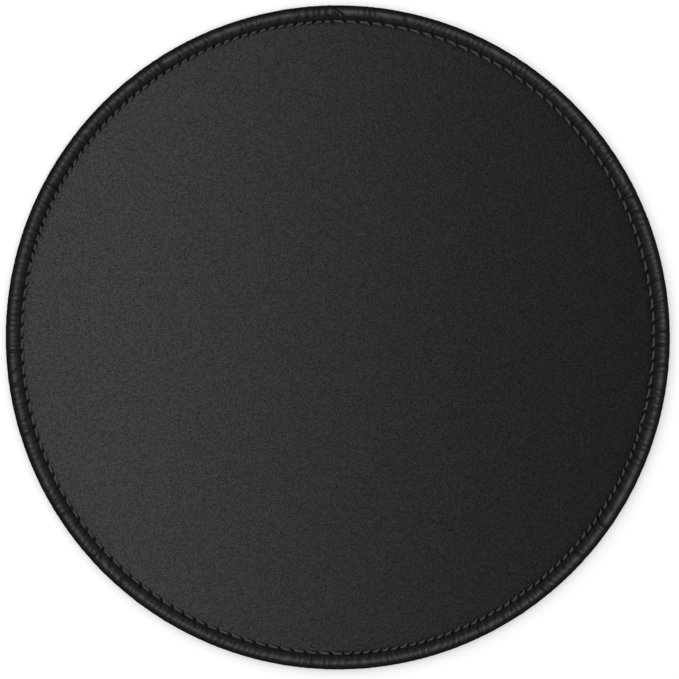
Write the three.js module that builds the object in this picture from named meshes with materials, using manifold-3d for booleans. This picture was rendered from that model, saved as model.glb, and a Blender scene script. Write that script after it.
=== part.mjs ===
// Round mouse pad, laminated from cloth and foamed rubber, with a bound and stitched edge.
// Millimetres, +Z up. The origin is under the middle of the pad, on the surface that it lies on.
// The join of the edge tape lies towards +Y, and the stitching is counted clockwise from there.

import * as THREE from 'three';
import { mergeVertices } from 'three/addons/utils/BufferGeometryUtils.js';
import Module from 'manifold-3d';

const wasm = await Module();
wasm.setup();

// Overall size
const padDiameter = 220;

// Layers of the laminate, and the thin gap left at each glued face
const clothThickness = 0.3;
const filmThickness = 0.1;
const rubberThickness = 2.5;
const bondGap = 0.05;

// Edge tape, rolled over the rim
const tapeThickness = 0.4;
const rimThickness = 2.8; // laminate inside the roll, a little squeezed
const crownInset = 1.9; // from the pad's edge to the top of the roll
const footWidth = 1.2; // flat strip under the roll
const tapeMargin = 0.55; // from the line of stitches to the tape's cut edges

// Line of stitches
const seamInset = 5.3; // from the pad's edge
const seamThickness = 1.1; // laminate pinched by the stitches
const ditchWidth = 0.5; // level strip outside the stitches
const dipWidth = 3.1; // over which the pad thins towards the tape

// Sewing thread
const threadDiameter = 0.5;
const threadGap = 0.05; // from the thread to what it lies on
const longStitch = 4.25;
const shortStitch = 3.1;
const stitchLean = 0.12; // how far each end of a stitch lies off the line

// Join of the tape: its end is folded on the slant and laps over its start
const overlapLength = 12;
const overlapStep = 0.25;
const foldSlantDegrees = 45;

// The seam was sewn in four runs, of longer and shorter stitches that lean to either side
const seamStartDegrees = -1;
const seamRuns = [
  { sweepDegrees: 107, stitchLength: longStitch, lean: 1 },
  { sweepDegrees: 73, stitchLength: shortStitch, lean: -1 },
  { sweepDegrees: 105, stitchLength: longStitch, lean: 1 },
  { sweepDegrees: 75, stitchLength: shortStitch, lean: -1 },
];

// Where a stitch comes up and goes down, as shares of its length, and how thin it is at the hole
const stitchStartShare = 0.2;
const stitchEndShare = 0.8;
const holeThicknessShare = 0.5;

const overrun = 3; // how far a cutting shape stands past what it cuts

// Fineness of the round shapes
const roundSegments = 60;
const slopeSteps = 3;
const arcSteps = 3;
const threadSides = 4;

// Worked out from the sizes above
const padRadius = padDiameter / 2;
const coverDepth = bondGap + tapeThickness;
const padTop = rubberThickness + bondGap + filmThickness + bondGap + clothThickness;
const seamRadius = padRadius - seamInset;
const tapeInnerRadius = seamRadius - tapeMargin;
const dipRadius = tapeInnerRadius - dipWidth;
const ditchRadius = seamRadius + ditchWidth;
const crownRadius = padRadius - crownInset;
const footRadius = crownRadius - footWidth;
const threadRoom = threadGap + threadDiameter + threadGap;
const seamBottom = threadRoom + coverDepth;
const seamTop = seamBottom + seamThickness;
const rimBottom = coverDepth;
const rimTop = rimBottom + rimThickness;
const rimMiddle = (rimBottom + rimTop) / 2;
const rollWidth = padRadius - coverDepth - crownRadius;

// Points after "from", up to and with "to", on a slope that is level at both ends.
function slope(from, to) {
  const points = [];
  for (let step = 1; step <= slopeSteps; step += 1) {
    const share = step / slopeSteps;
    const rise = (1 - Math.cos(Math.PI * share)) / 2;
    points.push(new THREE.Vector2(
      THREE.MathUtils.lerp(from.x, to.x, share),
      THREE.MathUtils.lerp(from.y, to.y, rise),
    ));
  }
  return points;
}

// Points from the level of the pad to where the stitches draw it in, like the edge of a pillow:
// level at "from", and steepest at "to". Both ends are in it.
function pillow(from, to) {
  const points = [];
  for (let step = 0; step <= slopeSteps; step += 1) {
    const turn = (Math.PI / 2) * (step / slopeSteps);
    points.push(new THREE.Vector2(
      THREE.MathUtils.lerp(from.x, to.x, Math.sin(turn)),
      THREE.MathUtils.lerp(to.y, from.y, Math.cos(turn)),
    ));
  }
  return points;
}

// Points after the top of the rim, round its edge to the bottom of the rim.
function rimArc() {
  const arc = new THREE.EllipseCurve(
    crownRadius, rimMiddle, rollWidth, rimThickness / 2, Math.PI / 2, -Math.PI / 2, true,
  );
  return arc.getPoints(2 * arcSteps).slice(1);
}

// Outline of the laminate's section, from the middle of its top, round the rim, to the middle
// of its underside. Every piece is laid along this line, inside or outside it.
function laminateOutline() {
  const at = (radius, height) => new THREE.Vector2(radius, height);
  const upperDip = pillow(at(dipRadius, padTop), at(tapeInnerRadius, seamTop));
  const upperRise = slope(at(ditchRadius, seamTop), at(crownRadius, rimTop));
  const lowerRise = slope(at(footRadius, rimBottom), at(ditchRadius, seamBottom));
  const lowerDip = pillow(at(dipRadius, 0), at(tapeInnerRadius, seamBottom)).reverse();
  const round = rimArc();
  const tapeStart = upperDip.length;
  const ditch = tapeStart + 1;
  const crown = ditch + upperRise.length;
  const edge = crown + arcSteps;
  const tapeEnd = crown + round.length + 1 + lowerRise.length + 1;
  const points = [
    at(0, padTop), ...upperDip, at(ditchRadius, seamTop), ...upperRise, ...round,
    at(footRadius, rimBottom), ...lowerRise, ...lowerDip, at(0, 0),
  ];
  return { points, tapeStart, ditch, crown, edge, tapeEnd };
}

// The same line moved outwards by a distance, or inwards where it is negative.
function offset(points, distance) {
  return points.map((point, index) => {
    const before = points[Math.max(index - 1, 0)];
    const after = points[Math.min(index + 1, points.length - 1)];
    const along = new THREE.Vector2();
    if (!before.equals(point)) along.add(point.clone().sub(before).normalize());
    if (!after.equals(point)) along.add(after.clone().sub(point).normalize());
    along.normalize();
    return new THREE.Vector2(point.x - along.y * distance, point.y + along.x * distance);
  });
}

// A closed body turned about the height axis, from a section that runs clockwise.
function turned(section) {
  const geometry = new THREE.LatheGeometry(section.slice().reverse(), roundSegments);
  geometry.rotateX(Math.PI / 2);
  geometry.deleteAttribute('normal');
  geometry.deleteAttribute('uv');
  return mergeVertices(geometry);
}

// The section between two lines that run the same way.
function layer(outer, inner) {
  return [...outer, ...inner.slice().reverse()];
}

function ring(section) {
  return turned([...section, section[0].clone()]);
}

function toManifold(geometry) {
  const mesh = new wasm.Mesh({
    numProp: 3,
    vertProperties: new Float32Array(geometry.attributes.position.array),
    triVerts: new Uint32Array(geometry.index.array),
  });
  return new wasm.Manifold(mesh);
}

function fromManifold(solid) {
  const mesh = solid.getMesh();
  const geometry = new THREE.BufferGeometry();
  geometry.setAttribute('position', new THREE.BufferAttribute(mesh.vertProperties, 3));
  geometry.setIndex(new THREE.BufferAttribute(mesh.triVerts, 1));
  return geometry;
}

const outline = laminateOutline();
const layerEnd = outline.edge - 1; // the cloth and the film end here, on the shoulder of the rim

function topLayer(depth, thickness) {
  const outer = offset(outline.points, -depth).slice(0, layerEnd + 1);
  const inner = offset(outline.points, -depth - thickness).slice(0, layerEnd + 1);
  return turned(layer(outer, inner));
}

// Foamed rubber under the cloth, thinned at the seam and full again inside the roll.
function rubberBase() {
  const depth = clothThickness + bondGap + filmThickness + bondGap;
  const underFilm = offset(outline.points, -depth).slice(0, layerEnd + 1);
  const rest = outline.points.slice(layerEnd + 1);
  return turned([...underFilm, ...rest]);
}

// The thicker roll where the folded end of the tape lies over its start. It is highest at the top
// of the roll, and level with the single tape in the ditch and at the edge of the pad.
function overlap() {
  const middle = offset(outline.points, bondGap + tapeThickness / 2);
  const outer = offset(outline.points, coverDepth);
  const crown = outer[outline.crown];
  const raised = outer.map((point, index) => {
    const foot = index < outline.crown ? outer[outline.ditch] : outer[outline.edge];
    const share = (point.y - foot.y) / (crown.y - foot.y);
    return new THREE.Vector2(point.x, point.y + overlapStep * share);
  });
  const section = layer(
    raised.slice(outline.ditch, outline.edge + 1),
    middle.slice(outline.ditch, outline.edge + 1),
  );
  const top = crown.y + overlapStep;
  return toManifold(ring(section)).intersect(toManifold(overlapPrism(top)));
}

// A prism over the overlap. Its first side is the slanted fold, which crosses the top of the roll
// straight ahead of the middle of the pad, and its other end is square to the tape.
function overlapPrism(height) {
  const inner = seamRadius - overrun;
  const outer = padRadius + overrun;
  const slant = Math.tan(THREE.MathUtils.degToRad(foldSlantDegrees));
  const turn = overlapLength / crownRadius;
  const plan = new THREE.Shape([
    new THREE.Vector2((crownRadius - outer) * slant, outer),
    new THREE.Vector2((crownRadius - inner) * slant, inner),
    new THREE.Vector2(inner * Math.sin(turn), inner * Math.cos(turn)),
    new THREE.Vector2(outer * Math.sin(turn), outer * Math.cos(turn)),
  ]);
  const geometry = new THREE.ExtrudeGeometry(plan, { depth: height + overrun, bevelEnabled: false });
  geometry.deleteAttribute('normal');
  geometry.deleteAttribute('uv');
  return mergeVertices(geometry);
}

// One tape round the whole rim, held by both its edges in the seam.
function edgeBinding() {
  const inner = offset(outline.points, bondGap).slice(outline.tapeStart, outline.tapeEnd + 1);
  const outer = offset(outline.points, coverDepth).slice(outline.tapeStart, outline.tapeEnd + 1);
  return fromManifold(toManifold(ring(layer(outer, inner))).add(overlap()));
}

// Places along the thread: at each hole, and where the stitch comes up and goes down again.
function threadPlaces() {
  const places = [];
  const allDegrees = seamRuns.reduce((sum, run) => sum + run.sweepDegrees, 0);
  let start = THREE.MathUtils.degToRad(seamStartDegrees);
  for (const run of seamRuns) {
    const sweep = (2 * Math.PI * run.sweepDegrees) / allDegrees;
    const count = Math.round((sweep * seamRadius) / run.stitchLength);
    const stitchTurn = sweep / count;
    const shift = run.lean * stitchLean;
    for (let stitch = 0; stitch < count; stitch += 1) {
      const hole = start + stitchTurn * stitch;
      const up = hole + stitchTurn * stitchStartShare;
      const down = hole + stitchTurn * stitchEndShare;
      places.push({ turn: hole, shift: 0, thickness: threadDiameter * holeThicknessShare });
      places.push({ turn: up, shift, thickness: threadDiameter });
      places.push({ turn: down, shift: -shift, thickness: threadDiameter });
    }
    start += sweep;
  }
  return places;
}

// A thread round the seam. It lies against the level, and its stitches stand off it, upwards where
// upwards is 1 and downwards where it is -1.
function seamThread(level, upwards) {
  const places = threadPlaces();
  const positions = [];
  for (const { turn, shift, thickness } of places) {
    const middle = level + (upwards * thickness) / 2;
    for (let side = 0; side < threadSides; side += 1) {
      const angle = (2 * Math.PI * side) / threadSides;
      const radius = seamRadius + shift + (Math.cos(angle) * thickness) / 2;
      const height = middle + (Math.sin(angle) * thickness) / 2;
      positions.push(radius * Math.sin(turn), radius * Math.cos(turn), height);
    }
  }
  const indices = [];
  for (let index = 0; index < places.length; index += 1) {
    const here = index * threadSides;
    const next = ((index + 1) % places.length) * threadSides;
    for (let side = 0; side < threadSides; side += 1) {
      const other = (side + 1) % threadSides;
      indices.push(here + side, next + other, next + side);
      indices.push(here + side, here + other, next + other);
    }
  }
  const geometry = new THREE.BufferGeometry();
  geometry.setAttribute('position', new THREE.Float32BufferAttribute(positions, 3));
  geometry.setIndex(indices);
  return geometry;
}

function piece(name, geometry, color, roughness) {
  const material = new THREE.MeshStandardMaterial({ color, roughness, metalness: 0 });
  const mesh = new THREE.Mesh(geometry, material);
  mesh.name = name;
  return mesh;
}

const tapeTopAtSeam = seamTop + coverDepth;
const tapeBottomAtSeam = seamBottom - coverDepth;

const mousePad = new THREE.Group();
mousePad.add(
  piece('surface_cloth', topLayer(0, clothThickness), '#2e2e2f', 0.9),
  piece('adhesive_film', topLayer(clothThickness + bondGap, filmThickness), '#cfc9bb', 0.4),
  piece('rubber_base', rubberBase(), '#1b1b1b', 0.95),
  piece('edge_binding', edgeBinding(), '#262627', 0.6),
  piece('needle_thread', seamThread(tapeTopAtSeam + threadGap, 1), '#3a3a3b', 0.5),
  piece('bobbin_thread', seamThread(tapeBottomAtSeam - threadGap, -1), '#3a3a3b', 0.5),
);

export default mousePad;
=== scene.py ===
import bisect
import math
import random

import bmesh
import bpy
from mathutils import Matrix, Vector, noise


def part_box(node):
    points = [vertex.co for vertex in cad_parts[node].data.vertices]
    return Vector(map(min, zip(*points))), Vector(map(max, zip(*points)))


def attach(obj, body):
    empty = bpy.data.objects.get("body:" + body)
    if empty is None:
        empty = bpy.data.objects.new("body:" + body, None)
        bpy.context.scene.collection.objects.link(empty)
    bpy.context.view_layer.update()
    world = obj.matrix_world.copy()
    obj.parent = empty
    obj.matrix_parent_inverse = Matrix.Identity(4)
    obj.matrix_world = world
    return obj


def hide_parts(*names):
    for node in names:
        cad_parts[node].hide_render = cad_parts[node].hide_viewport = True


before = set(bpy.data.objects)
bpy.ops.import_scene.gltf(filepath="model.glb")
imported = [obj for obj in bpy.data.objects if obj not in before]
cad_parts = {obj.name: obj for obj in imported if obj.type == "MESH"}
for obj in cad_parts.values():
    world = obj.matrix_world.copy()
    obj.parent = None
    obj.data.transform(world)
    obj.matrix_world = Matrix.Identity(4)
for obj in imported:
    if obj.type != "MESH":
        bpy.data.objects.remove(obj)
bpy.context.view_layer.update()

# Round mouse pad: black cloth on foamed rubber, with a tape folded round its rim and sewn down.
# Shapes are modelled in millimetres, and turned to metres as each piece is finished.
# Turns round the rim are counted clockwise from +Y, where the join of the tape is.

mm = 0.001
weldGap = 0.002  # within it, two points of a mesh are one
clothOnly = bpy.data.collections.new("clothOnly")  # what the strip and the low lamp light
edgeOnly = bpy.data.collections.new("edgeOnly")  # what the softbox and the fill light


# Sizes that the pieces share, in mm, the same as in the frame
pad = {
    "radius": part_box("edge_binding")[1].x / mm,
    "clothThickness": 0.3,
    "filmThickness": 0.1,
    "rubberThickness": 2.5,
    "glueGap": 0.05,
    "tapeThickness": 0.4,
    "rimThickness": 2.8,  # laminate inside the roll
    "crownInset": 1.9,  # from the pad's edge to the top of the roll
    "footWidth": 1.2,  # flat strip under the roll
    "seamInset": 5.3,
    "seamThickness": 1.1,  # laminate pinched by the stitches
    "tapeMargin": 0.55,  # from the stitches to the tape's cut edges
    "ditchWidth": 0.5,  # level strip outside the stitches
    "dipWidth": 3.1,  # over which the pad thins towards the tape
    "threadDiameter": 0.5,
    "threadGap": 0.05,
}

padTop = (pad["rubberThickness"] + pad["filmThickness"] + pad["clothThickness"]
          + 2 * pad["glueGap"])
coverDepth = pad["glueGap"] + pad["tapeThickness"]
seamRadius = pad["radius"] - pad["seamInset"]
tapeInnerRadius = seamRadius - pad["tapeMargin"]
dipRadius = tapeInnerRadius - pad["dipWidth"]
ditchRadius = seamRadius + pad["ditchWidth"]
crownRadius = pad["radius"] - pad["crownInset"]
footRadius = crownRadius - pad["footWidth"]
seamBottom = 2 * pad["threadGap"] + pad["threadDiameter"] + coverDepth
seamTop = seamBottom + pad["seamThickness"]
rimTop = coverDepth + pad["rimThickness"]
rimMiddle = coverDepth + pad["rimThickness"] / 2
tapeTopAtSeam = seamTop + coverDepth
tapeBottomAtSeam = seamBottom - coverDepth

# The seam, in four runs of longer and shorter stitches that lean to either side
seam = {
    "startDegrees": -1,
    "longStitch": 4.25,
    "shortStitch": 3.1,
    "runs": [(107, "longStitch", 1), (73, "shortStitch", -1),
             (105, "longStitch", 1), (75, "shortStitch", -1)],
    "slitLength": 1.9,  # slanted hole that the thread goes down, drawn open by its pull
    "slitWidth": 0.7,
    "slitSlantDegrees": 37,
    "slitOffset": 0.1,  # of its middle, outwards
    "slitDepth": 0.36,
    "grooveDepth": 0.18,
    "grooveWidth": 0.5,
    "inwards": 0.18,  # the pull of the tape draws the thread towards the cloth
    "reach": 3,  # how far to either side the seam marks the tape
    "pullReach": (0.3, 1.0, 1.6, 3.4),  # each hole draws a faint line up the roll
    "pullSlant": 0.7,
    "pullWidth": 0.42,
    "pullDepth": 0.1,
    "underShare": 0.55,  # the seam sinks in less on the underside
    "slitShade": 1.2,  # painted shade runs from 0 to 1, black in the holes; over 1 the black widens
    "pullShade": 0.12,
    "footShade": 0.15,  # at the foot of the roll
    "footShadePlace": 0.6,
    "footShadeWidth": 0.22,
}


def seamHoles():
    # every hole as (angle, turn to the next one, lean)
    holes = []
    allDegrees = sum(run[0] for run in seam["runs"])
    start = math.radians(seam["startDegrees"])
    for degrees, stitch, lean in seam["runs"]:
        sweep = math.tau * degrees / allDegrees
        count = round(sweep * seamRadius / seam[stitch])
        holes += [(start + sweep * i / count, sweep / count, lean) for i in range(count)]
        start += sweep
    return holes


holes = seamHoles()
holeAngles = [hole[0] for hole in holes]


def stitchArcs(spacing, joinStitches=0, joinSpacing=1):
    # the seam's stitches as arcs to spin, with steps about this far apart, and closer together
    # in the few stitches on either side of the tape's join
    arcs = []
    for i, (_, turn, _) in enumerate(holes):
        nearJoin = i < joinStitches or i >= len(holes) - joinStitches
        steps = round(turn * seamRadius / (joinSpacing if nearJoin else spacing))
        angle, count, lastSteps = arcs[-1] if arcs else (0, 1, 0)
        if steps == lastSteps and math.isclose(angle / count, turn):
            arcs[-1] = (angle + turn, count + 1, steps)
        else:
            arcs.append((turn, 1, steps))
    return arcs


def nearestHole(angle):
    # the signed way to the nearest hole along the seam in mm, the stitch's pitch in mm, its lean
    first = holeAngles[0]
    turned = (angle - first) % math.tau + first
    index = bisect.bisect_right(holeAngles, turned) - 1
    start, turn, lean = holes[index]
    after = turned - start
    if after > turn / 2:
        return (after - turn) * seamRadius, turn * seamRadius, holes[(index + 1) % len(holes)][2]
    return after * seamRadius, turn * seamRadius, lean


def lerp(a, b, share):
    return a + (b - a) * share


def gauss(distance, width):
    return math.exp(-((distance / width) ** 2))


def smooth(low, high, value):
    share = min(1.0, max(0.0, (value - low) / (high - low)))
    return share * share * (3 - 2 * share)


def within(reach, value):
    # reach says where it begins, is full, fades and ends
    begins, full, fades, ends = reach
    return smooth(begins, full, value) * (1 - smooth(fades, ends, value))


# Lines of the section, as (radius, height) in mm
def fullness(value, power):
    # the sine or cosine of a turn, for a quarter of an ellipse filled out to a squarer one
    return math.copysign(abs(value) ** (2 / power), value)


def dipLine(flatHeight, seamHeight, steps):
    # the laminate thins like the edge of a pillow towards the tape
    turns = [math.pi / 2 * i / steps for i in range(steps + 1)]
    power = section["dipPower"]
    return [(lerp(dipRadius, tapeInnerRadius, fullness(math.sin(turn), power)),
             lerp(seamHeight, flatHeight, fullness(math.cos(turn), power))) for turn in turns]


def riseLine(fromRadius, toRadius, seamHeight, rimHeight, steps):
    # from the ditch up to the rim, steepest at the ditch
    shares = [i / steps for i in range(1, steps + 1)]
    power = section["risePower"]
    return [(lerp(fromRadius, toRadius, share),
             rimHeight + (seamHeight - rimHeight) * (1 - share) ** power) for share in shares]


def rollLine(fromDegrees, toDegrees, steps):
    width = pad["radius"] - coverDepth - crownRadius
    power = section["rollPower"]
    turns = [math.radians(lerp(fromDegrees, toDegrees, i / steps)) for i in range(1, steps + 1)]
    return [(crownRadius + width * fullness(math.sin(turn), power),
             rimMiddle + pad["rimThickness"] / 2 * fullness(math.cos(turn), power))
            for turn in turns]


def ditchLine(height, steps):
    return [(lerp(tapeInnerRadius, ditchRadius, i / steps), height) for i in range(1, steps + 1)]


def offsetLine(points, distance):
    # the same line moved outwards, or inwards where the distance is negative
    moved = []
    for i, (radius, height) in enumerate(points):
        along = Vector((0, 0))
        for a, b in ((i - 1, i), (i, i + 1)):
            if 0 <= a and b < len(points):
                along += (Vector(points[b]) - Vector(points[a])).normalized()
        along.normalize()
        moved.append((radius - along.y * distance, height + along.x * distance))
    return moved


section = {
    "dipPower": 4,
    "risePower": 1.85,
    "rollPower": 2.5,
    "dipSteps": 9,
    "ditchSteps": 5,
    "riseSteps": 11,
    "rollSteps": 7,
    "shoulderSteps": 5,  # of the roll's steps; the cloth and the film end there
    "underRollSteps": 4,
    "underRiseSteps": 3,
    "underDitchSteps": 4,
    "flatRadii": [6, 18, 32, 46, 60, 74, 86, 95],
}

flatTop = [(0, padTop)] + [(radius, padTop) for radius in section["flatRadii"]]
flatBottom = [(radius, 0) for radius in reversed(section["flatRadii"])] + [(0, 0)]
topDip = dipLine(padTop, seamTop, section["dipSteps"])
bottomDip = dipLine(0, seamBottom, section["dipSteps"])[::-1]
topOfRim = (
    [topDip[-1]]
    + ditchLine(seamTop, section["ditchSteps"])
    + riseLine(ditchRadius, crownRadius, seamTop, rimTop, section["riseSteps"])
    + rollLine(0, 90, section["rollSteps"])
)
underRim = (
    rollLine(90, 180, section["underRollSteps"])
    + [(footRadius, coverDepth)]
    + riseLine(ditchRadius, footRadius, seamBottom, coverDepth, section["underRiseSteps"])[-2::-1]
    + [(ditchRadius, seamBottom)]
    + ditchLine(seamBottom, section["underDitchSteps"])[-2::-1]
    + [bottomDip[0]]
)
shoulder = len(topOfRim) - (section["rollSteps"] - section["shoulderSteps"])


def underCloth(depth):
    # the top line of the cloth this much lower, with its first point left on the axis
    line = offsetLine(flatTop + topDip + topOfRim[1:shoulder], -depth)
    return [(0, line[0][1])] + line[1:]


# One function adds a node with its settings, values and links
def addNode(tree, kind, inputs=None, **settings):
    node = tree.nodes.new("ShaderNode" + kind)
    for name, value in settings.items():
        setattr(node, name, value)
    for socket, value in (inputs or {}).items():
        if isinstance(value, bpy.types.NodeSocket):
            tree.links.new(value, node.inputs[socket])
        else:
            node.inputs[socket].default_value = value
    return node


def hexColour(code):
    # sRGB hex to linear
    shares = [int(code[i:i + 2], 16) / 255 for i in (1, 3, 5)]
    linear = [s / 12.92 if s <= 0.04045 else ((s + 0.055) / 1.055) ** 2.4 for s in shares]
    return (*linear, 1)


def newMaterial(name):
    material = bpy.data.materials.new(name)
    material.use_nodes = True
    tree = material.node_tree
    tree.nodes.clear()
    return material, tree


def finishMaterial(tree, shader):
    addNode(tree, "OutputMaterial", {"Surface": shader.outputs[0]})


def perMetre(sizeInMm):
    # a noise or wave scale whose pattern repeats about once in this size
    return 1 / (sizeInMm * mm)


def objectNoise(tree, sizeInMm, **values):
    place = addNode(tree, "TexCoord").outputs["Object"]
    return addNode(tree, "TexNoise", {"Vector": place, "Scale": perMetre(sizeInMm), **values})


def mixShades(tree, factor, shades):
    return addNode(tree, "Mix", {
        "Factor": factor, "A": hexColour(shades[0]), "B": hexColour(shades[1])},
        data_type="RGBA").outputs["Result"]


def mathOf(tree, operation, *values):
    return addNode(tree, "Math", dict(enumerate(values)), operation=operation).outputs[0]


def bumpOf(tree, height, depthInMm, **values):
    # a relief this deep, over the normal in the values if there is one
    return addNode(tree, "Bump", {
        "Height": height, "Distance": depthInMm * mm, "Strength": 1, **values}).outputs[0]


def spinSector(points, closed, marks, angle, steps):
    # a few steps of a turned section, clockwise from +Y
    bm = bmesh.new()
    layer = bm.verts.layers.float.new("across")
    verts = [bm.verts.new((0, radius, height)) for radius, height in points]
    for vert, mark in zip(verts, marks):
        vert[layer] = mark
    pairs = list(zip(verts, verts[1:])) + ([(verts[-1], verts[0])] if closed else [])
    edges = [bm.edges.new(pair) for pair in pairs]
    bmesh.ops.spin(
        bm, geom=verts + edges, cent=(0, 0, 0), axis=(0, 0, -1), dvec=(0, 0, 0),
        angle=angle, steps=steps, use_merge=False, use_duplicate=False)
    mesh = bpy.data.meshes.new("sector")
    bm.to_mesh(mesh)
    bm.free()
    return mesh


def spinSection(points, arcs, closed=False, marks=()):
    # Turns a section through arcs of (angle, sectors, steps in each), from the seam's first
    # hole. One long spin would be slow and drift, so each sector is spun once and copied round.
    bm = bmesh.new()
    start = holes[0][0]
    for angle, sectors, steps in arcs:
        sector = spinSector(points, closed, marks, angle / sectors, steps)
        for i in range(sectors):
            old = len(bm.verts)
            bm.from_mesh(sector)
            bm.verts.ensure_lookup_table()
            bmesh.ops.rotate(bm, verts=bm.verts[old:], cent=(0, 0, 0),
                             matrix=Matrix.Rotation(-(start + angle * i / sectors), 3, "Z"))
        bpy.data.meshes.remove(sector)
        start += angle
    bmesh.ops.remove_doubles(bm, verts=bm.verts[:], dist=weldGap)
    bmesh.ops.recalc_face_normals(bm, faces=bm.faces[:])
    bm.normal_update()
    return bm


def finishPiece(bm, name, node, material):
    bmesh.ops.scale(bm, vec=(mm, mm, mm), verts=bm.verts[:])
    mesh = bpy.data.meshes.new(name)
    bm.to_mesh(mesh)
    bm.free()
    mesh.polygons.foreach_set("use_smooth", [True] * len(mesh.polygons))
    piece = bpy.data.objects.new(name, mesh)
    bpy.context.scene.collection.objects.link(piece)
    (clothOnly if name == "clothTop" else edgeOnly).objects.link(piece)
    mesh.materials.append(material)
    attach(piece, "root")
    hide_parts(node)
    print(name, len(mesh.polygons), "faces")
    return piece


# Camera, straight above the pad as in the photograph
view = {
    "imagePixels": 679,
    "padCentreX": 337.79,
    "padCentreY": 337.39,
    "padRadiusPixels": 331.97,
    "lens": 150,
    "sensor": 36,
}


def makeCamera():
    millimetresPerPixel = pad["radius"] / view["padRadiusPixels"]
    middle = view["imagePixels"] / 2
    data = bpy.data.cameras.new("camera")
    data.lens = view["lens"]
    data.sensor_width = view["sensor"]
    camera = bpy.data.objects.new("camera", data)
    distance = view["lens"] / view["sensor"] * view["imagePixels"] * millimetresPerPixel
    camera.location = (
        (middle - view["padCentreX"]) * millimetresPerPixel * mm,
        (view["padCentreY"] - middle) * millimetresPerPixel * mm,
        (rimMiddle + distance) * mm,
    )
    bpy.context.scene.collection.objects.link(camera)
    bpy.context.scene.camera = camera
    bpy.context.scene.view_settings.view_transform = "Standard"
    print("camera", round(distance), "mm above the pad")


makeCamera()


# Lamps. The photograph's cloth darkens evenly from left to right, while its rolled edge shines
# alike on all sides. A strip lamp over its left gives the first, with a low lamp on the right
# for the slope of the cloth's edge. A softbox and a wide fill overhead give the other.
lamps = {
    "softboxSide": 420,
    "softboxHeight": 900,
    "softboxRadiance": 4.5,
    "fillSide": 900,
    "fillHeight": 620,
    "fillRadiance": 0.9,
    "stripMiddle": -103,
    "stripWidth": 30,
    "stripHeight": 156,
    "stripLength": 1300,
    "stripRadiance": 8.35,
    "lowSide": 200,
    "lowPlace": (420, 0, 150),
    "lowRadiance": 0.65,
    "sunStrength": 2.5,
    "sunSoftnessDegrees": 116,
    "sunTiltDegrees": 16,
    "sunFromDegrees": 135,  # from the top left of the photograph
    "worldStrength": 0.1,
    "floorGlow": 0.285,
    "floorHalf": 3000,
    "floorGap": 0.02,  # under the pad, so that their faces don't lie in one plane
    "floorWhite": "#f2f2f2",
    "floorGrey": "#3a3a3a",
}


def areaLamp(name, width, length, place, radiance, lit):
    # faces down and lights one collection; its power follows from its size and radiance
    data = bpy.data.lights.new(name, "AREA")
    data.shape = "RECTANGLE"
    data.size = width * mm
    data.size_y = length * mm
    data.energy = radiance * math.pi * data.size * data.size_y
    lamp = bpy.data.objects.new(name, data)
    lamp.location = [value * mm for value in place]
    lamp.visible_camera = False
    bpy.context.scene.collection.objects.link(lamp)
    lamp.light_linking.receiver_collection = lit
    return lamp


def makeLamps():
    side = lamps["softboxSide"]
    areaLamp("softbox", side, side, (0, 0, lamps["softboxHeight"]), lamps["softboxRadiance"],
             edgeOnly)
    side = lamps["fillSide"]
    fill = areaLamp("fill", side, side, (0, 0, lamps["fillHeight"]), lamps["fillRadiance"],
                    edgeOnly)
    fill.visible_glossy = False  # only the softbox makes the sheen
    place = (lamps["stripMiddle"], 0, lamps["stripHeight"])
    areaLamp("strip", lamps["stripWidth"], lamps["stripLength"], place, lamps["stripRadiance"],
             clothOnly)
    side = lamps["lowSide"]
    low = areaLamp("low", side, side, lamps["lowPlace"], lamps["lowRadiance"], clothOnly)
    low.rotation_euler = (0, math.atan2(lamps["lowPlace"][0], lamps["lowPlace"][2]), 0)
    print("lamps")


def makeFloor():
    # white in the camera's view and darker to the pad, with the pad's soft shadow on it
    bm = bmesh.new()
    bmesh.ops.create_grid(bm, x_segments=1, y_segments=1, size=lamps["floorHalf"] * mm)
    bmesh.ops.translate(bm, verts=bm.verts[:], vec=(0, 0, -lamps["floorGap"] * mm))
    mesh = bpy.data.meshes.new("floor")
    bm.to_mesh(mesh)
    bm.free()
    floor = bpy.data.objects.new("floor", mesh)
    bpy.context.scene.collection.objects.link(floor)
    material, tree = newMaterial("whiteSweep")
    path = addNode(tree, "LightPath")
    white = addNode(tree, "BsdfDiffuse", {"Color": hexColour(lamps["floorWhite"])})
    glow = addNode(tree, "Emission", {"Color": (1, 1, 1, 1), "Strength": lamps["floorGlow"]})
    seen = addNode(tree, "AddShader", {0: white.outputs[0], 1: glow.outputs[0]})
    grey = addNode(tree, "BsdfDiffuse", {"Color": hexColour(lamps["floorGrey"])})
    finishMaterial(tree, addNode(tree, "MixShader", {
        0: path.outputs["Is Camera Ray"], 1: grey.outputs[0], 2: seen.outputs[0]}))
    mesh.materials.append(material)

    # A soft sun for the floor alone, which gives it the shadow at the pad's lower right. The
    # quarter turn is there because a tilted sun shines from -Y.
    floorOnly = bpy.data.collections.new("floorOnly")
    floorOnly.objects.link(floor)
    data = bpy.data.lights.new("sun", "SUN")
    data.energy = lamps["sunStrength"]
    data.angle = math.radians(lamps["sunSoftnessDegrees"])
    sun = bpy.data.objects.new("sun", data)
    sun.rotation_euler = (math.radians(lamps["sunTiltDegrees"]), 0,
                          math.radians(lamps["sunFromDegrees"] + 90))
    bpy.context.scene.collection.objects.link(sun)
    sun.light_linking.receiver_collection = floorOnly
    print("floor")


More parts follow.
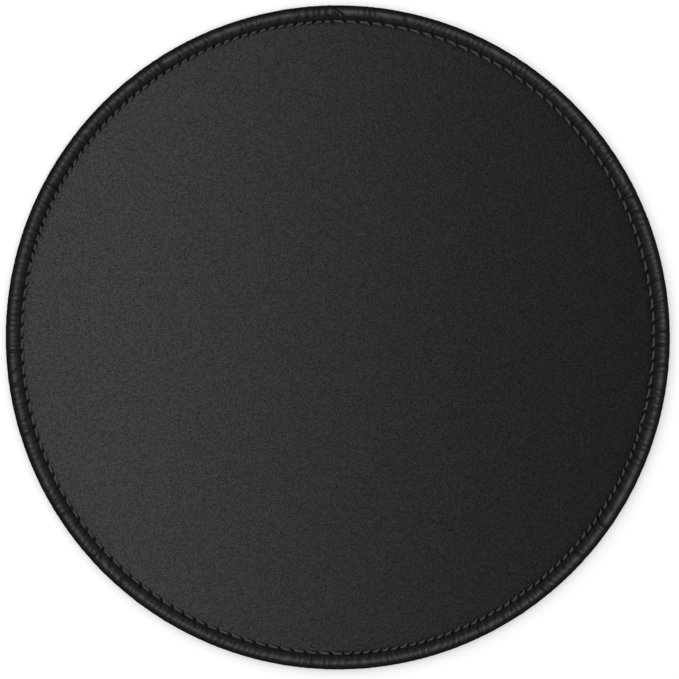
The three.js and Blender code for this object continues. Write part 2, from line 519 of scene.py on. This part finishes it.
def makeWorld():
    # White to the camera and dim as a light. Is Glossy Ray and Is Transmission Ray are left
    # out: there is no metal or glass here, and a white world in the gloss would wash out the
    # tape's near-black sides.
    world = bpy.data.worlds.new("studio")
    world.use_nodes = True
    tree = world.node_tree
    tree.nodes.clear()
    path = addNode(tree, "LightPath")
    dim = addNode(tree, "Background", {"Strength": lamps["worldStrength"]})
    bright = addNode(tree, "Background", {"Color": (1, 1, 1, 1), "Strength": 1})
    mixed = addNode(tree, "MixShader", {
        0: path.outputs["Is Camera Ray"], 1: dim.outputs[0], 2: bright.outputs[0]})
    addNode(tree, "OutputWorld", {"Surface": mixed.outputs[0]})
    bpy.context.scene.world = world
    print("world")


makeLamps()
makeFloor()
makeWorld()


# Cloth: one round of knitted polyester, glued down flat
cloth = {
    "shades": ("#171717", "#454545"),
    "grainSize": 0.66,
    "fineGrainSize": 0.44,
    "grainDetail": 2,
    "grainRoughness": 0.6,
    "grainSpread": 0.32,  # the noise this far below or above its middle gives the two shades
    "loopWidth": 0.31,
    "loopLength": 0.36,
    "loopRandomness": 0.6,
    "loopRelief": 0.05,
    "loopShade": 0.3,  # painted shade: how much darker the gaps between them are
    "fuzzSize": 0.1,
    "fuzzRelief": 0.015,
    "paintedEdgeShadeFactor": 0.92,  # of its colour: painted shade where the cloth dips by the tape
    "paintedEdgeShadeWidth": 2.6,
    "roughness": 0.85,
    "stepSize": 0.58,
    "pucker": 0.07,  # how deep each hole draws the cloth down
    "puckerReach": 2.2,
}


def knittedPolyester():
    # matt black micro-knit: a fine uneven grain over small round loops with fuzz on them
    material, tree = newMaterial("knittedPolyester")
    place = addNode(tree, "TexCoord").outputs["Object"]
    # the grain of single yarns is too fine for the render, so it is drawn coarser
    grain = addNode(tree, "TexNoise", {
        "Vector": place, "Scale": perMetre(cloth["grainSize"]), "Detail": cloth["grainDetail"],
        "Roughness": cloth["grainRoughness"]})
    fine = addNode(tree, "TexNoise", {
        "Vector": place, "Scale": perMetre(cloth["fineGrainSize"]), "Detail": 0})
    both = mathOf(tree, "ADD", grain.outputs["Fac"], fine.outputs["Fac"])
    spread = addNode(tree, "MapRange", {
        "Value": both, "From Min": 1 - cloth["grainSpread"], "From Max": 1 + cloth["grainSpread"]})
    scaled = addNode(tree, "Mapping", {"Vector": place, "Scale": (
        perMetre(cloth["loopWidth"]), perMetre(cloth["loopLength"]), 1)})
    loops = addNode(tree, "TexVoronoi", {
        "Vector": scaled.outputs[0], "Scale": 1, "Randomness": cloth["loopRandomness"]},
        voronoi_dimensions="2D")
    # painted shade, darker towards the gaps between the loops
    squared = mathOf(tree, "MULTIPLY", loops.outputs["Distance"], loops.outputs["Distance"])
    paintedLoopShade = mathOf(tree, "MULTIPLY_ADD", squared, -cloth["loopShade"], 1)
    lit = mathOf(tree, "MULTIPLY", spread.outputs[0], paintedLoopShade)
    colour = mixShades(tree, lit, cloth["shades"])
    # painted shade, darker where the cloth dips beside the tape
    paintedEdgeShade = addNode(tree, "Attribute", attribute_name="paintedEdgeShade").outputs["Fac"]
    shade = addNode(tree, "MapRange", {
        "Value": paintedEdgeShade, "To Min": 1, "To Max": cloth["paintedEdgeShadeFactor"]})
    shaded = addNode(tree, "VectorMath", {0: colour, "Scale": shade.outputs[0]},
                     operation="SCALE")
    fuzz = objectNoise(tree, cloth["fuzzSize"], Detail=1)
    relief = addNode(tree, "Bump", {
        "Height": squared, "Distance": cloth["loopRelief"] * mm, "Strength": 1}, invert=True)
    fuzzy = bumpOf(tree, fuzz.outputs["Fac"], cloth["fuzzRelief"], Normal=relief.outputs[0])
    finishMaterial(tree, addNode(tree, "BsdfPrincipled", {
        "Base Color": shaded.outputs[0], "Roughness": cloth["roughness"], "Normal": fuzzy}))
    return material


def makeCloth():
    line = underCloth(0) + underCloth(pad["clothThickness"])[::-1]
    bm = spinSection(line, stitchArcs(cloth["stepSize"]))
    paintedEdgeShadeLayer = bm.verts.layers.float.new("paintedEdgeShade")
    # painted shade fades in over this width towards the tape
    for vert in bm.verts:
        radius = math.hypot(vert.co.x, vert.co.y)
        vert[paintedEdgeShadeLayer] = smooth(-cloth["paintedEdgeShadeWidth"], 0, radius - tapeInnerRadius)
        if radius < dipRadius or radius > ditchRadius:
            continue
        way, pitch, _ = nearestHole(math.atan2(vert.co.x, vert.co.y))
        near = 0.5 + 0.5 * math.cos(math.tau * way / pitch)
        fade = smooth(-cloth["puckerReach"], 0, radius - tapeInnerRadius)
        vert.co.z -= cloth["pucker"] * near * fade
    piece = finishPiece(bm, "clothTop", "surface_cloth", knittedPolyester())


# Film: hot-melt glue that holds the cloth on the rubber
film = {
    "shades": ("#c4beb0", "#cfc9bb"),
    "mottleSize": 6,
    "roughness": 0.4,
    "sectors": 12,
    "steps": 30,
}


def hotMeltGlue():
    # milky glue, cast thin and even: faintly mottled and slightly glossy
    material, tree = newMaterial("hotMeltGlue")
    mottle = objectNoise(tree, film["mottleSize"])
    colour = mixShades(tree, mottle.outputs["Fac"], film["shades"])
    finishMaterial(tree, addNode(tree, "BsdfPrincipled", {
        "Base Color": colour, "Roughness": film["roughness"]}))
    return material


def makeFilm():
    depth = pad["clothThickness"] + pad["glueGap"]
    line = underCloth(depth) + underCloth(depth + pad["filmThickness"])[::-1]
    bm = spinSection(line, [(math.tau, film["sectors"], film["steps"])])
    finishPiece(bm, "glueFilm", "adhesive_film", hotMeltGlue())


# Rubber: foamed sheet, thinned at the seam and full again inside the roll
rubber = {
    "shades": ("#191919", "#222222"),
    "toneSize": 9,
    "roughness": 0.85,
    "specular": 0.3,
    "cellSize": 0.5,
    "cellShare": 0.25,  # how deep the cells are beside the tread
    "treadPitch": 3,
    "treadRelief": 0.3,
    "treadTurnDegrees": 45,
    "sectors": 12,
    "steps": 60,
}
waveRadians = 20  # of a wave texture in one unit, at a scale of 1


def foamedRubber():
    # natural rubber foam with an open skin: dead black and matt, pitted by its cells, and with
    # the fine diamond tread that its moulding belt presses into the underside
    material, tree = newMaterial("foamedRubber")
    place = addNode(tree, "TexCoord").outputs["Object"]
    turned = addNode(tree, "Mapping", {
        "Vector": place, "Rotation": (0, 0, math.radians(rubber["treadTurnDegrees"]))})
    scale = math.tau / waveRadians * perMetre(rubber["treadPitch"])
    bands = [addNode(tree, "TexWave", {"Vector": turned.outputs[0], "Scale": scale},
                     bands_direction=direction).outputs["Fac"] for direction in "XY"]
    tread = mathOf(tree, "MULTIPLY", *bands)
    cells = addNode(tree, "TexVoronoi", {"Vector": place, "Scale": perMetre(rubber["cellSize"])})
    pitted = mathOf(tree, "MULTIPLY_ADD", cells.outputs["Distance"], rubber["cellShare"], tread)
    tone = objectNoise(tree, rubber["toneSize"])
    colour = mixShades(tree, tone.outputs["Fac"], rubber["shades"])
    finishMaterial(tree, addNode(tree, "BsdfPrincipled", {
        "Base Color": colour, "Roughness": rubber["roughness"],
        "Specular IOR Level": rubber["specular"],
        "Normal": bumpOf(tree, pitted, rubber["treadRelief"])}))
    return material


def makeRubber():
    depth = pad["clothThickness"] + pad["filmThickness"] + 2 * pad["glueGap"]
    line = underCloth(depth) + topOfRim[shoulder:] + underRim[:-1] + bottomDip + flatBottom
    bm = spinSection(line, [(math.tau, rubber["sectors"], rubber["steps"])])
    piece = finishPiece(bm, "rubberSheet", "rubber_base", foamedRubber())


# Tape: rolled round the rim and gathered a little, its folded end lapped over its start
tape = {
    "shades": ("#141414", "#1d1d1d"),
    "toneSize": 3,
    "toneDetail": 3,
    "roughness": 0.42,
    "specular": 0.5,
    "paintedShadeColour": "#010101",
    "stepSize": 0.32,
    "joinStepSize": 0.17,
    "joinStitches": 4,
    "innerStep": 4,  # every fourth line is enough on its hidden face
    "innerMark": 1000,  # which those points have in place of a distance across the tape
    "gatherSeed": 7,
    "gatherEvery": (0.9, 2.75),
    "gatherHeight": (0.14, 0.23),
    "gatherLength": 2,  # of a gather that high
    "gatherMargin": 6,  # they are made past both ends of the ring
    "gatherSlant": 0.55,
    "slantLength": 15,  # over which the slant of the gathers changes
    "outerReach": 2.2,  # they fade from the top of the roll to both sides
    "innerReach": 5.2,
    "leastStrength": 0.03,
    "smoothEvery": (3.5, 6.5),  # here and there the tape lies smooth
    "smoothShare": 0.09,
    "neighbours": 3,  # so many of the slanted lines on each side may be the nearest
    "creaseShade": 0.32,
    "creaseShadeWidth": 0.3,
    "deepCreaseSeed": 8,
    # where the photograph has the deepest creases, clockwise from its top
    "deepCreaseDegrees": [11.8, 48.8, 55.6, 64.6, 67.3, 79.8, 83.7, 88.8, 91.4, 94.8, 125.3, 131.9,
                          140.9, 149.4, 154.3, 184.5, 221.5, 228.3, 237.2, 240, 252.6, 261.6, 264.1,
                          267.5, 298.1, 322.1, 327],
    "deepCreaseDepth": (0.18, 0.27),
    "creaseReach": 0.7,  # a gather that would end this near one ends in it
    "deepCreaseWidth": 0.3,
    "deepCreaseRange": 3,
    "deepCreaseSlant": 0.2,
    "deepCreaseShade": 0.5,
    "deepCreaseShadeWidth": 0.32,
    "deepCreaseShadeLength": 3.4,
    "sway": 0.006,
    "swayLength": 9,
    "overlapLength": 12,
    "overlapStep": 0.25,
    "overlapRise": (-0.2, 0.25),  # past the fold
    "overlapFall": (-4, 4),  # past the end of the overlap
    "overlapAcross": (-3.2, -1.6, 0.8, 2.4),
    "foldSlantDegrees": 45,
    "foldBend": 2.5,  # from the top of the roll outwards, where the slant ends
    "foldPlace": 0.15,  # past the top of the photograph
    # past the fold in mm, height in mm, width in mm
    "foldRidges": [(0.7, 0.06, 0.45), (-0.85, 0.14, 0.45), (0, -0.16, 0.4)],
    "pressedFrom": (-0.2, 0.5),  # the doubled tape past the fold has flatter gathers
    "pressedTo": (4, 9),
    "pressedShare": 0.75,
    "foldLineWidth": 0.34,
    "foldLineFade": (1.2, 2.8),  # from the top of the roll to both sides
    "foldLineShade": 0.85,
    "yarnWidth": 0.17,
    "yarnLength": 0.51,
    "yarnRelief": 0.014,
}
roundCrown = math.tau * crownRadius


def makeGathers(creasePlaces):
    # lines between the gathers as (place along the crown, slant, height of the next gather)
    draw = random.Random(tape["gatherSeed"])
    lines = []
    place = -tape["gatherMargin"]
    reach = tape["creaseReach"]
    while place < roundCrown + tape["gatherMargin"]:
        isSmooth = draw.random() < tape["smoothShare"]
        length = draw.uniform(*tape["smoothEvery" if isSmooth else "gatherEvery"])
        ahead = [crease - place for crease in creasePlaces
                 if reach < crease - place < length + reach]
        length = min(ahead, default=length)
        longest = min(length, tape["gatherEvery"][1])
        height = draw.uniform(*tape["gatherHeight"]) * longest / tape["gatherLength"]
        # the noise is 0 on whole numbers, so it is read between them
        slant = tape["gatherSlant"] * noise.noise(Vector((place / tape["slantLength"], 0.5, 0.5)))
        lines.append((place, slant, height))
        place += length
    return lines


def makeDeepCreases():
    # (place along the crown, depth, slant)
    draw = random.Random(tape["deepCreaseSeed"])
    return [(math.radians(degrees) * crownRadius, draw.uniform(*tape["deepCreaseDepth"]),
             draw.uniform(-1, 1) * tape["deepCreaseSlant"])
            for degrees in tape["deepCreaseDegrees"]]


def gatherHeight(lines, places, arc, side):
    # the height of a rounded gather between two creases, and the way to the nearer one
    index = bisect.bisect_right(places, arc)
    first = max(0, index - tape["neighbours"])
    near = sorted((place + slant * side, height)
                  for place, slant, height in lines[first:index + tape["neighbours"]])
    for (start, height), (end, _) in zip(near, near[1:]):
        if start <= arc < end:
            share = (arc - start) / (end - start)
            return height * 4 * share * (1 - share), min(arc - start, end - arc)
    return 0.0, 1.0


def polyesterTape():
    # woven polyester tape, pressed smooth: near-black, with a satin sheen along the roll, and
    # painted shade that darkens it and dulls its sheen in the seam's holes, creases and fold
    material, tree = newMaterial("polyesterTape")
    tone = objectNoise(tree, tape["toneSize"], Detail=tape["toneDetail"])
    colour = mixShades(tree, tone.outputs["Fac"], tape["shades"])
    # the UV is in metres along the tape, from the join, and across it, from the roll's top
    woven = addNode(tree, "UVMap", uv_map="UVMap").outputs["UV"]
    parts = addNode(tree, "SeparateXYZ", {0: woven})
    half = roundCrown / 2 * mm
    along = mathOf(tree, "WRAP", parts.outputs[0], half, -half)
    moved = mathOf(tree, "SUBTRACT", along, tape["foldPlace"] * mm)
    # the line of shadow at the folded end, which crosses the roll on the slant
    away = mathOf(tree, "ABSOLUTE", mathOf(tree, "ADD", moved, parts.outputs[1]))
    line = addNode(tree, "MapRange", {
        "Value": away, "From Max": tape["foldLineWidth"] * mm, "To Min": 1, "To Max": 0},
        interpolation_type="SMOOTHSTEP")
    onTop = addNode(tree, "MapRange", {
        "Value": mathOf(tree, "ABSOLUTE", parts.outputs[1]),
        "From Min": tape["foldLineFade"][0] * mm, "From Max": tape["foldLineFade"][1] * mm,
        "To Min": tape["foldLineShade"], "To Max": 0}, interpolation_type="SMOOTHSTEP")
    foldLine = mathOf(tree, "MULTIPLY", line.outputs[0], onTop.outputs[0])
    # the attribute named hole is painted shade: darker colour and no sheen in holes and creases
    paintedShade = addNode(tree, "Attribute", attribute_name="hole").outputs["Fac"]
    hole = mathOf(tree, "MAXIMUM", paintedShade, foldLine)
    darkened = addNode(tree, "Mix", {
        "Factor": hole, "A": colour, "B": hexColour(tape["paintedShadeColour"])}, data_type="RGBA")
    gloss = addNode(tree, "MapRange", {"Value": hole, "To Min": tape["specular"], "To Max": 0})
    # yarns run along the tape, and picks cross them
    fine = perMetre(tape["yarnWidth"])
    coarse = perMetre(tape["yarnLength"])
    yarns = []
    for scale in ((coarse, fine, 1), (fine, coarse, 1)):
        stretched = addNode(tree, "Mapping", {"Vector": woven, "Scale": scale}).outputs[0]
        yarns.append(addNode(tree, "TexNoise", {
            "Vector": stretched, "Scale": 1, "Detail": 0}).outputs["Fac"])
    weave = mathOf(tree, "ADD", *yarns)
    finishMaterial(tree, addNode(tree, "BsdfPrincipled", {
        "Base Color": darkened.outputs["Result"], "Roughness": tape["roughness"],
        "Specular IOR Level": gloss.outputs[0],
        "Normal": bumpOf(tree, weave, tape["yarnRelief"])}))
    return material


def lapHeight(fromJoin, pastFold, side):
    # the folded end of the tape, raised over its start
    step = (smooth(*tape["overlapRise"], pastFold)
            * (1 - smooth(*tape["overlapFall"], fromJoin - tape["overlapLength"])))
    ridges = sum(height * gauss(pastFold - place, width)
                 for place, height, width in tape["foldRidges"])
    return (tape["overlapStep"] * step + ridges) * within(tape["overlapAcross"], side)


def seamMarks(angle, radius):
    # How deep the tape sinks into the slits where the thread goes down, the groove that the
    # stitches press and the lines that they pull, and the painted shade put there
    way, _, lean = nearestHole(angle)
    out = radius - seamRadius + seam["inwards"]
    slant = math.radians(seam["slitSlantDegrees"])
    alongSlit = (way * math.cos(slant) - lean * out * math.sin(slant)
                 + lean * seam["slitOffset"] / math.sin(slant))
    acrossSlit = way * math.sin(slant) + lean * out * math.cos(slant)
    slit = gauss(acrossSlit, seam["slitWidth"] / 2) * gauss(alongSlit, seam["slitLength"] / 2)
    groove = seam["grooveDepth"] * gauss(out, seam["grooveWidth"])
    pull = (within(seam["pullReach"], out)
            * gauss(way + seam["pullSlant"] * lean * out, seam["pullWidth"]))
    sunk = lerp(groove, seam["slitDepth"], slit) + seam["pullDepth"] * pull * (1 - slit)
    foot = seam["footShade"] * gauss(out - seam["footShadePlace"], seam["footShadeWidth"])
    shade = max(min(1, seam["slitShade"] * slit), seam["pullShade"] * pull, foot)
    return sunk, shade


def shapeTape(bm):
    # moves the tape's points along their normals, paints shade into its creases and seam marks,
    # and gives each point's place as (along, across)
    layer = bm.verts.layers.float["across"]
    # painted shade on each point, kept in the attribute named hole
    paintedShadeLayer = bm.verts.layers.float.new("hole")
    deepCreases = makeDeepCreases()
    deepPlaces = [crease[0] for crease in deepCreases]
    gathers = makeGathers(deepPlaces)
    gatherPlaces = [line[0] for line in gathers]
    slant = math.tan(math.radians(tape["foldSlantDegrees"]))
    least = tape["leastStrength"]
    moves = []
    places = []
    for vert in bm.verts:
        side = vert[layer]
        angle = math.atan2(vert.co.x, vert.co.y)
        radius = math.hypot(vert.co.x, vert.co.y)
        onTop = vert.co.z > rimMiddle
        arc = (angle * crownRadius) % roundCrown
        places.append((arc, side))
        if side == tape["innerMark"]:
            continue
        fromJoin = (arc if arc < roundCrown / 2 else arc - roundCrown) - tape["foldPlace"]
        pastFold = (fromJoin + min(side, tape["foldBend"]) * slant) * math.cos(math.atan(slant))
        pressed = (smooth(*tape["pressedFrom"], pastFold)
                   * (1 - smooth(*tape["pressedTo"], fromJoin)))

        # gathers with creases between them, strongest on the top of the roll
        reach = tape["outerReach" if side > 0 else "innerReach"]
        strength = least + (1 - least) * gauss(side, reach)
        gather, toLine = gatherHeight(gathers, gatherPlaces, arc, side)
        height = gather * strength
        # painted shade along the creases between gathers and in the deep creases
        shade = (tape["creaseShade"] * gauss(toLine, tape["creaseShadeWidth"]) * strength
                 * (1 - pressed))
        low = bisect.bisect_left(deepPlaces, arc - tape["deepCreaseRange"])
        high = bisect.bisect_right(deepPlaces, arc + tape["deepCreaseRange"])
        for place, depth, skew in deepCreases[low:high]:
            away = abs(arc - place + skew * side)
            height -= depth * math.exp(-away / tape["deepCreaseWidth"]) * strength
            shade = max(shade, tape["deepCreaseShade"]
                        * gauss(away, tape["deepCreaseShadeWidth"])
                        * gauss(side, tape["deepCreaseShadeLength"]))
        height *= 1 - tape["pressedShare"] * pressed
        if onTop:
            sway = noise.noise(Vector((vert.co.x, vert.co.y, 0)) / tape["swayLength"])
            height += tape["sway"] * sway * strength
        if onTop and abs(fromJoin) < 2 * tape["overlapLength"]:
            height += lapHeight(fromJoin, pastFold, side)
        if abs(radius - seamRadius) < seam["reach"]:
            sunk, seamShade = seamMarks(angle, radius)
            height -= sunk if onTop else seam["underShare"] * sunk
            shade = max(shade, seamShade)
        vert[paintedShadeLayer] = shade
        moves.append((vert, vert.normal.copy() * height))
    for vert, move in moves:
        vert.co += move
    return places


def unrollTape(bm, places):
    uvLayer = bm.loops.layers.uv.new("UVMap")
    bm.verts.index_update()
    for face in bm.faces:
        corners = [places[loop.vert.index] for loop in face.loops]
        furthest = max(corners)[0]
        for loop, (arc, side) in zip(face.loops, corners):
            unrolled = arc + roundCrown if furthest - arc > roundCrown / 2 else arc
            loop[uvLayer].uv = (unrolled * mm, side * mm)


def makeTape():
    outer = offsetLine(topOfRim + underRim, coverDepth)
    inner = offsetLine(topOfRim + underRim, pad["glueGap"])
    every = tape["innerStep"]
    picked = inner[::every] + ([inner[-1]] if (len(inner) - 1) % every else [])
    crown = section["ditchSteps"] + section["riseSteps"]
    across = [0.0]
    for a, b in zip(outer, outer[1:]):
        across.append(across[-1] + math.dist(a, b))
    across = [value - across[crown] for value in across]
    marks = across + [tape["innerMark"]] * len(picked)
    arcs = stitchArcs(tape["stepSize"], tape["joinStitches"], tape["joinStepSize"])
    bm = spinSection(outer + picked[::-1], arcs, True, marks)
    unrollTape(bm, shapeTape(bm))
    piece = finishPiece(bm, "bindingTape", "edge_binding", polyesterTape())


# Thread: one lockstitch seam, seen as dashes above and below
thread = {
    "shades": ("#424242", "#585858"),
    "roughness": 0.55,
    "sides": 8,
    "flatness": 0.76,  # pressed by the machine's tension
    "plies": 3,
    "twists": 3,  # in one stitch
    "plyRelief": 0.05,
    "seed": 11,
    "fatness": (0.9, 1.1),  # stitches differ a little in height
    "drift": 0.06,  # and in how far their middles lie off the line
    # along the stitch as a share, off the line in mm, height of the middle in mm, thickness share
    "places": [(0, -0.1, -0.65, 0.6), (0.12, 0.2, -0.35, 0.9), (0.2, 0.21, 0, 1.15),
               (0.29, 0.18, 0.16, 1.28), (0.43, 0.13, 0.2, 1.33), (0.57, 0.05, 0.19, 1.33),
               (0.69, -0.1, 0.16, 1.28), (0.79, -0.27, 0.12, 1.15), (0.88, -0.4, 0, 0.92),
               (1, -0.1, -0.65, 0.6)],
}


def polyesterThread():
    # three-ply spun polyester: dark grey, with painted highlight on each ply, shade between
    material, tree = newMaterial("polyesterThread")
    place = addNode(tree, "UVMap", uv_map="UVMap").outputs["UV"]
    plies = addNode(tree, "TexWave", {"Vector": place, "Scale": math.tau / waveRadians},
                    bands_direction="X")
    # painted highlight and shade: lighter along each ply, darker between the plies
    colour = mixShades(tree, plies.outputs["Fac"], thread["shades"])
    finishMaterial(tree, addNode(tree, "BsdfPrincipled", {
        "Base Color": colour, "Roughness": thread["roughness"],
        "Normal": bumpOf(tree, plies.outputs["Fac"], thread["plyRelief"])}))
    return material


def stitchMesh():
    # one stitch from hole to hole: x along it as a share, y off the line, z its height. Its UV
    # counts the plies past each point, so that a wave in U twists round the thread.
    bm = bmesh.new()
    uvLayer = bm.loops.layers.uv.new("UVMap")
    aroundLayer = bm.verts.layers.float.new("around")
    radius = pad["threadDiameter"] / 2
    rings = []
    for along, off, height, thickness in thread["places"]:
        made = bmesh.ops.create_circle(bm, cap_ends=False, segments=thread["sides"], radius=1)
        ring = made["verts"]
        for i, vert in enumerate(ring):
            vert[aroundLayer] = i / len(ring)
        bmesh.ops.rotate(bm, verts=ring, cent=(0, 0, 0),
                         matrix=Matrix.Rotation(math.pi / 2, 3, "Y"))
        size = radius * thickness
        bmesh.ops.scale(bm, verts=ring, vec=(size, size, size * thread["flatness"]))
        bmesh.ops.translate(bm, verts=ring, vec=(along, off, height))
        rings.append(ring)
    for a, b in zip(rings, rings[1:]):
        edges = [edge for edge in bm.edges
                 if all(vert in a for vert in edge.verts) or all(vert in b for vert in edge.verts)]
        bmesh.ops.bridge_loops(bm, edges=edges)
    bmesh.ops.recalc_face_normals(bm, faces=bm.faces[:])
    for face in bm.faces:
        furthest = max(vert[aroundLayer] for vert in face.verts)
        for loop in face.loops:
            around = loop.vert[aroundLayer]
            around += 1 if furthest - around > 0.5 else 0
            share = loop.vert.co.x
            loop[uvLayer].uv = (thread["plies"] * (around + thread["twists"] * share), around)
    mesh = bpy.data.meshes.new("stitch")
    bm.to_mesh(mesh)
    bm.free()
    return mesh


def makeThread(name, node, level, upwards, material):
    # The stitches meet inside the holes and make one closed ring. Each is made the other way
    # round where the seam leans to the other side.
    template = stitchMesh()
    draw = random.Random(thread["seed"])
    bm = bmesh.new()
    for start, turn, lean in holes:
        old = len(bm.verts)
        bm.from_mesh(template)
        bm.verts.ensure_lookup_table()
        fatness = draw.uniform(*thread["fatness"])
        drift = draw.uniform(-1, 1) * thread["drift"]
        for vert in bm.verts[old:]:
            share, off, height = vert.co
            middle = math.sin(math.pi * min(1, max(0, share)))
            angle = start + turn * (share if lean > 0 else 1 - share)
            radius = seamRadius - seam["inwards"] + off + drift * middle
            lifted = height * (fatness if height > 0 else 1)
            vert.co = (radius * math.sin(angle), radius * math.cos(angle),
                       level + upwards * lifted)
    bmesh.ops.remove_doubles(bm, verts=bm.verts[:], dist=weldGap)
    bmesh.ops.recalc_face_normals(bm, faces=bm.faces[:])
    bpy.data.meshes.remove(template)
    finishPiece(bm, name, node, material)


makeCloth()
makeFilm()
makeRubber()
makeTape()
threadMaterial = polyesterThread()
makeThread("needleStitches", "needle_thread", tapeTopAtSeam, 1, threadMaterial)
makeThread("bobbinStitches", "bobbin_thread", tapeBottomAtSeam, -1, threadMaterial)
